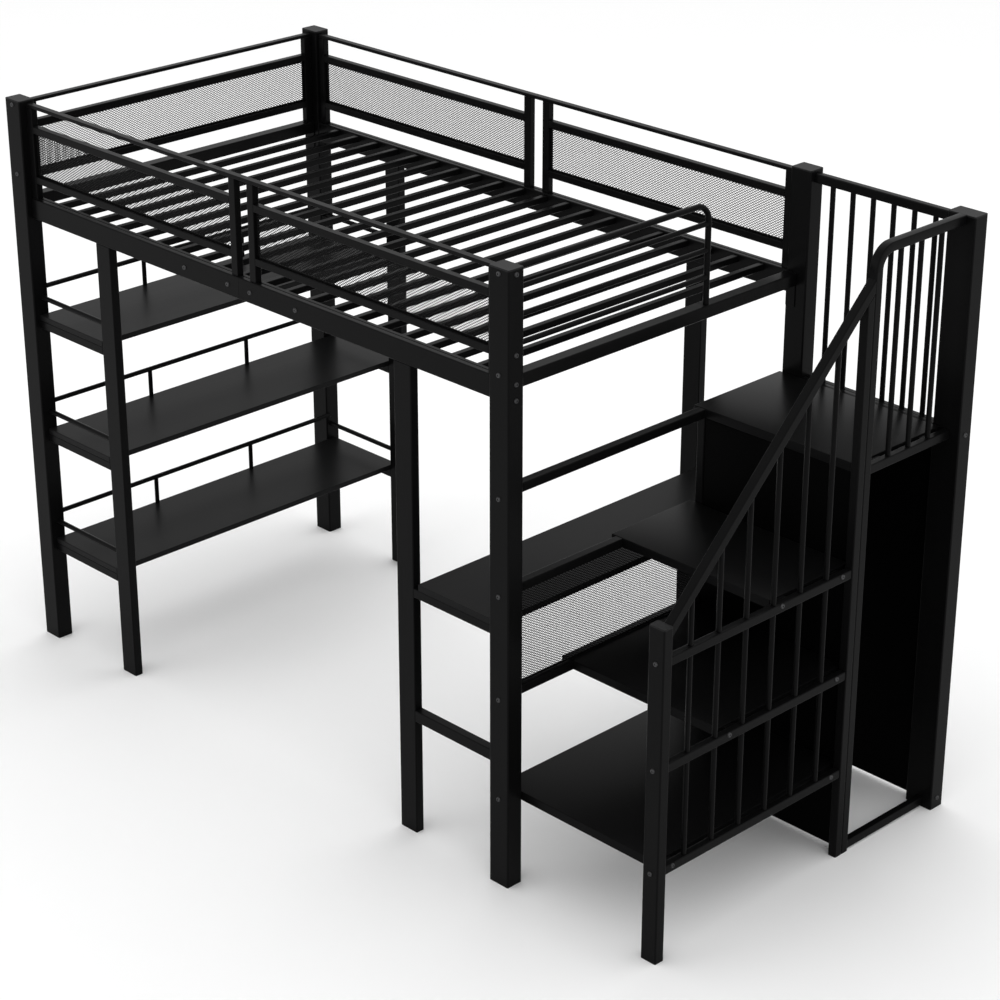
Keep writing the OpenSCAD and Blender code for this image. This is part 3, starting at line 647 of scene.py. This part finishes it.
def addMeshPanel(work, low, high, facts):
    # wide strands lean one way and thin ones the other, all cut to the panel
    size = high - low
    along = 0 if size.x > size.y else 1
    deep = Vector((0, 1, 0)) if along == 0 else Vector((1, 0, 0))
    middle = (low + high) / 2
    width, height = size[along], size.z
    rise = facts["slope"]
    reach = height / rise

    def point(t, z):
        place = Vector(middle)
        place[along] = low[along] + t
        place.z = low.z + z
        return place

    wideLean = 1 if along == 0 else -1
    for lean in (1, -1):
        strand = facts["wide"] if lean == wideLean else facts["thin"]
        start = -reach
        while start < width:
            t0, z0 = (start, 0.0) if lean > 0 else (start, height)
            t1, z1 = (start + reach, height) if lean > 0 else (start + reach, 0.0)
            if t0 < 0:
                z0 += lean * -t0 * rise
                t0 = 0.0
            if t1 > width:
                z1 -= lean * (t1 - width) * rise
                t1 = width
            if t1 - t0 > facts["shortest"]:
                addStrand(work, point(t0, z0), point(t1, z1), deep, strand, facts["thick"])
            start += facts["pitch"]
    edge, half, corner = facts["edging"], facts["edgingDeep"], facts["edgingCorner"]
    for z in (low.z, high.z - edge):
        a, b = point(0, 0), point(width, 0)
        a.z, b.z = z, z + edge
        addBar(work, a - deep * half, b + deep * half, corner, 1, 0)
    for t in (0, width - edge):
        a, b = point(t, 0), point(t + edge, height)
        addBar(work, a - deep * half, b + deep * half, corner, 1, 0)


def makeMesh(name, nodeName):
    work = bmesh.new()
    for low, high in solidBoxes(nodeName):
        addMeshPanel(work, low, high, meshFacts)
    return finishPiece(name, work, "mesh_steel", [nodeName])


makeMesh("guardMesh", "guard_mesh")
makeMesh("deskMesh", "modesty_mesh")
print("mesh made")


boardShape = {"ease": 0.0015, "steps": 3, "notchGap": 0.0003}
rodFacts = {"sides": 18, "uprights": (0.338, 0.676), "slack": 0.0005}


def makeBoard(name, nodeName):
    work = bmesh.new()
    low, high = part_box(nodeName)
    startBlock(work, low, high)
    roundEdges(work, work.edges[:], boardShape["ease"], boardShape["steps"])
    return finishPiece(name, work, "board", [nodeName])


for level in ("top", "middle", "low"):
    makeBoard("shelfBoard" + level.capitalize(), "shelf_board_" + level)


def makeDeskBoard():
    low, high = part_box("desk_board")
    gap = boardShape["notchGap"]
    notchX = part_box("post_front_right")[0].x - gap
    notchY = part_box("post_front_right")[1].y + gap
    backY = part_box("post_back_right")[0].y - gap
    work = bmesh.new()
    addBlock(work, (low.x, low.y, low.z), (notchX, high.y, high.z))
    addBlock(work, (notchX, notchY, low.z), (high.x, backY, high.z))
    return finishPiece("deskBoard", work, "board", ["desk_board"])


makeDeskBoard()


def makeRods(name, nodeName):
    work = bmesh.new()
    for low, high in solidBoxes(nodeName):
        middle = (low + high) / 2
        addRod(work, (low.x, middle.y, middle.z), (high.x, middle.y, middle.z),
               (high.z - low.z) / 2, rodFacts["sides"])
    return finishPiece(name, work, "powder_coat", [nodeName], smooth=True)


def makeSideRods():
    work = bmesh.new()
    front, back = (corner.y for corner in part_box("shelf_board_top"))
    for low, high in solidBoxes("shelf_rods_side"):
        x, radius = (low.x + high.x) / 2, (high.x - low.x) / 2
        middle = high.z - radius
        addRod(work, (x, low.y, middle), (x, high.y, middle), radius, rodFacts["sides"])
        for part in rodFacts["uprights"]:
            y = front + part * (back - front)
            addRod(work, (x, y, low.z), (x, y, middle), radius - rodFacts["slack"], rodFacts["sides"])
    return finishPiece("shelfRodsSide", work, "powder_coat", ["shelf_rods_side"], smooth=True)


makeRods("shelfRodsFront", "shelf_rods_front")
makeRods("shelfRodsBack", "shelf_rods_back")
makeSideRods()
print("boards and rods made")


sheetShape = {
    "thick": 0.0012, "fold": 0.002, "steps": 4, "railGap": 0.011, "tab": 0.030, "tabEase": 0.004,
    "tabCorner": 0.001, "tabIn": 0.001, "treadTabs": (0.020, -0.075), "platformTabs": (0.060, -0.090),
    "postGap": 0.001, "strip": 0.0004,
}


def foldBack(work, openFaces, fold, steps, thick):
    # an open box becomes a sheet with folded edges
    bmesh.ops.delete(work, geom=openFaces, context="FACES")
    roundEdges(work, [e for e in work.edges if len(e.link_faces) == 2], fold, steps)
    bmesh.ops.recalc_face_normals(work, faces=work.faces[:])
    bmesh.ops.solidify(work, geom=work.faces[:], thickness=thick)


def foldedTray(work, low, high):
    # flat top with lips turned down, hollow below
    startBlock(work, Vector(low), Vector(high))
    below = [f for f in work.faces if f.normal.z < -0.9]
    foldBack(work, below, sheetShape["fold"], sheetShape["steps"], sheetShape["thick"])


def addTabs(work, edge, rail, starts, low, high):
    # tabs that reach from the lip to the stair's side rails
    for start in starts:
        addBar(work, (edge - sheetShape["tabIn"], start, low.z + sheetShape["tabEase"]),
               (rail, start + sheetShape["tab"], high.z - sheetShape["tabEase"]),
               sheetShape["tabCorner"], 2)


def makeTread(name, nodeName):
    low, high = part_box(nodeName)
    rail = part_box("stair_side_rails")[0].x
    edge = rail - sheetShape["railGap"]
    front, back = sheetShape["treadTabs"]
    work = bmesh.new()
    foldedTray(work, low, (edge, high.y, high.z))
    addTabs(work, edge, rail, (low.y + front, high.y + back), low, high)
    return finishPiece(name, work, "tread_steel", [nodeName], smooth=True)


for level in ("low", "middle", "high"):
    makeTread("tread" + level.capitalize(), "tread_" + level)


def makePlatform():
    low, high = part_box("platform_sheet")
    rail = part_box("stair_side_rails")[0].x
    edge, gap = rail - sheetShape["railGap"], sheetShape["postGap"]
    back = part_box("post_back_right")[0].y - gap
    front, rear = sheetShape["platformTabs"]
    work = bmesh.new()
    foldedTray(work, low, (edge, back, high.z))
    x0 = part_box("post_back_right")[1].x + gap
    x1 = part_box("post_stair_back")[0].x - gap
    addBlock(work, (x0, back - gap, high.z - sheetShape["thick"]), (x1, high.y, high.z),
             sheetShape["strip"])
    addTabs(work, edge, rail, (low.y + front, back + rear), low, high)
    return finishPiece("platform", work, "tread_steel", ["platform_sheet"], smooth=True)


makePlatform()

panelShape = {"fold": 0.003, "steps": 3, "thick": 0.001}


def makePanel(name, nodeName):
    low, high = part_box(nodeName)
    work = bmesh.new()
    startBlock(work, low, high)
    behind = [f for f in work.faces if f.normal.y > 0.9]
    foldBack(work, behind, panelShape["fold"], panelShape["steps"], panelShape["thick"])
    return finishPiece(name, work, "panel_steel", [nodeName], smooth=True)


makePanel("partitionPanel", "partition_panel")
makePanel("backPanel", "back_panel")
print("treads and panels made")


handFacts = {"size": 0.025, "corner": 0.003, "bend": 0.050, "steps": 10, "spare": 0.1}
balusterSides = 22


def makeBalusters(name, nodeName):
    work = bmesh.new()
    for low, high in solidBoxes(nodeName):
        x, y = (low.x + high.x) / 2, (low.y + high.y) / 2
        addRod(work, (x, y, low.z), (x, y, high.z), (high.x - low.x) / 2, balusterSides)
    return finishPiece(name, work, "powder_coat", [nodeName], smooth=True)


makeBalusters("stairBalusters", "stair_balusters")
makeBalusters("platformSideBalusters", "platform_side_balusters")
makeBalusters("platformBackBalusters", "platform_back_balusters")


handLow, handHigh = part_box("handrail")
newelTop = min(b[1].z for b in solidBoxes("post_caps"))
handSlope = math.atan((handHigh.z - newelTop) / (handHigh.y - handLow.y))


def cutAway(work, point, normal):
    bmesh.ops.bisect_plane(work, geom=work.verts[:] + work.edges[:] + work.faces[:], plane_co=point,
                           plane_no=normal, clear_outer=True)
    bmesh.ops.holes_fill(work, edges=[e for e in work.edges if e.is_boundary], sides=0)


def makeHandrail():
    size, spare = handFacts["size"], handFacts["spare"]
    length = (handHigh.y - handLow.y) / math.cos(handSlope) + 2 * spare
    work = bmesh.new()
    addBar(work, (handLow.x, -spare, -size), (handHigh.x, length, 0.0), handFacts["corner"], 4, 0)
    bmesh.ops.rotate(work, cent=(0, 0, 0), matrix=Matrix.Rotation(handSlope, 3, "X"),
                     verts=work.verts[:])
    bmesh.ops.translate(work, vec=(0, handLow.y, newelTop), verts=work.verts[:])
    cutAway(work, (0, handLow.y, 0), (0, -1, 0))
    cutAway(work, (0, handHigh.y, 0), (0, 1, 0))
    return finishPiece("handrailSloped", work, "powder_coat", ["handrail"])


def makeGuardPost():
    low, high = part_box("stair_guard_post")
    work = bmesh.new()
    addBar(work, low, high, handFacts["corner"], 4, 0)
    cutAway(work, (0, high.y, high.z), (0, -math.sin(handSlope), math.cos(handSlope)))
    return finishPiece("stairGuardPost", work, "powder_coat", ["stair_guard_post"])


makeHandrail()
makeGuardPost()


def makeTopHandrail():
    low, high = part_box("top_handrail")
    size, bend = handFacts["size"], handFacts["bend"]
    work = bmesh.new()
    verts = bmesh.ops.create_grid(work, x_segments=1, y_segments=1, size=size / 2)["verts"]
    bmesh.ops.bevel(work, geom=verts, offset=handFacts["corner"], offset_type="OFFSET", segments=4,
                    profile=0.5, affect="VERTICES", clamp_overlap=True, material=-1)
    bmesh.ops.translate(work, vec=((low.x + high.x) / 2, low.y + size / 2, low.z), verts=work.verts[:])
    sides = len(work.faces[:][0].verts)
    centre = (0, low.y + size / 2 + bend, low.z)
    spun = bmesh.ops.spin(work, geom=work.faces[:], cent=centre, axis=(1, 0, 0), dvec=(0, 0, 0),
                          angle=math.radians(-90), steps=handFacts["steps"], use_duplicate=False)
    end = only(bmesh.types.BMFace, spun["geom_last"])
    made = bmesh.ops.extrude_face_region(work, geom=end)["geom"]
    bmesh.ops.translate(work, vec=(0, high.y - low.y - size / 2 - bend, 0),
                        verts=only(bmesh.types.BMVert, made))
    openInside(work, sides)
    return finishPiece("handrailTop", work, "powder_coat", ["top_handrail"], smooth=True)


makeTopHandrail()
print("stair guard made")


bracketFacts = {"ease": 0.0008}


def makeBrackets():
    work = bmesh.new()
    for low, high in solidBoxes("end_rail_brackets"):
        addBlock(work, low, high, bracketFacts["ease"])
    return finishPiece("endRailBrackets", work, "powder_coat", ["end_rail_brackets"])


makeBrackets()

boltFacts = {
    "head": 0.0065, "rim": 0.82, "headHeight": 0.003, "socket": 0.0028, "socketEdge": 0.0002,
    "deep": 0.0016, "sides": 24, "shank": 0.003, "shankSides": 12,
}


def addBolt(work, seat, out, length):
    # a button head on its seat with a socket, and its shank behind
    facts = boltFacts
    turn = Vector(out).to_track_quat("Z", "Y").to_matrix().to_4x4()
    middle = Matrix.Translation(Vector(seat) + Vector(out) * facts["headHeight"] / 2) @ turn
    made = bmesh.ops.create_cone(work, cap_ends=True, cap_tris=False, segments=facts["sides"],
                                 radius1=facts["head"], radius2=facts["head"] * facts["rim"],
                                 depth=facts["headHeight"], matrix=middle)["verts"]
    work.faces.ensure_lookup_table()
    top = [f for f in {f for v in made for f in v.link_faces}
           if len(f.verts) > 4 and f.normal.dot(Vector(out)) > 0.9]
    bmesh.ops.inset_region(work, faces=top,
                           thickness=facts["head"] * facts["rim"] - facts["socket"])
    bmesh.ops.inset_region(work, faces=top, thickness=facts["socketEdge"], depth=-facts["deep"])
    addRod(work, Vector(seat), Vector(seat) - Vector(out) * length, facts["shank"],
           facts["shankSides"])


def makeBolts():
    work = bmesh.new()
    for low, high in solidBoxes("bolts"):
        size = high - low
        middle = (low + high) / 2
        along = 0 if abs(size.y - size.z) < abs(size.x - size.z) else 1
        sign = 1 if along == 0 or middle.y > 0 else -1
        out = Vector((0, 0, 0))
        out[along] = sign
        seat = Vector(middle)
        seat[along] = (high[along] if sign > 0 else low[along]) - sign * boltFacts["headHeight"]
        addBolt(work, seat, out, size[along] - boltFacts["headHeight"])
    return finishPiece("bolts", work, "bolt_steel", ["bolts"])


makeBolts()
print("bolts made")


def makeFloor():
    work = bmesh.new()
    bmesh.ops.create_grid(work, x_segments=1, y_segments=1, size=floorFacts["half"])
    mesh = bpy.data.meshes.new("studioFloor")
    work.to_mesh(mesh)
    work.free()
    floor = bpy.data.objects.new("studioFloor", mesh)
    mesh.materials.append(floorPaint)
    bpy.context.scene.collection.objects.link(floor)


makeFloor()
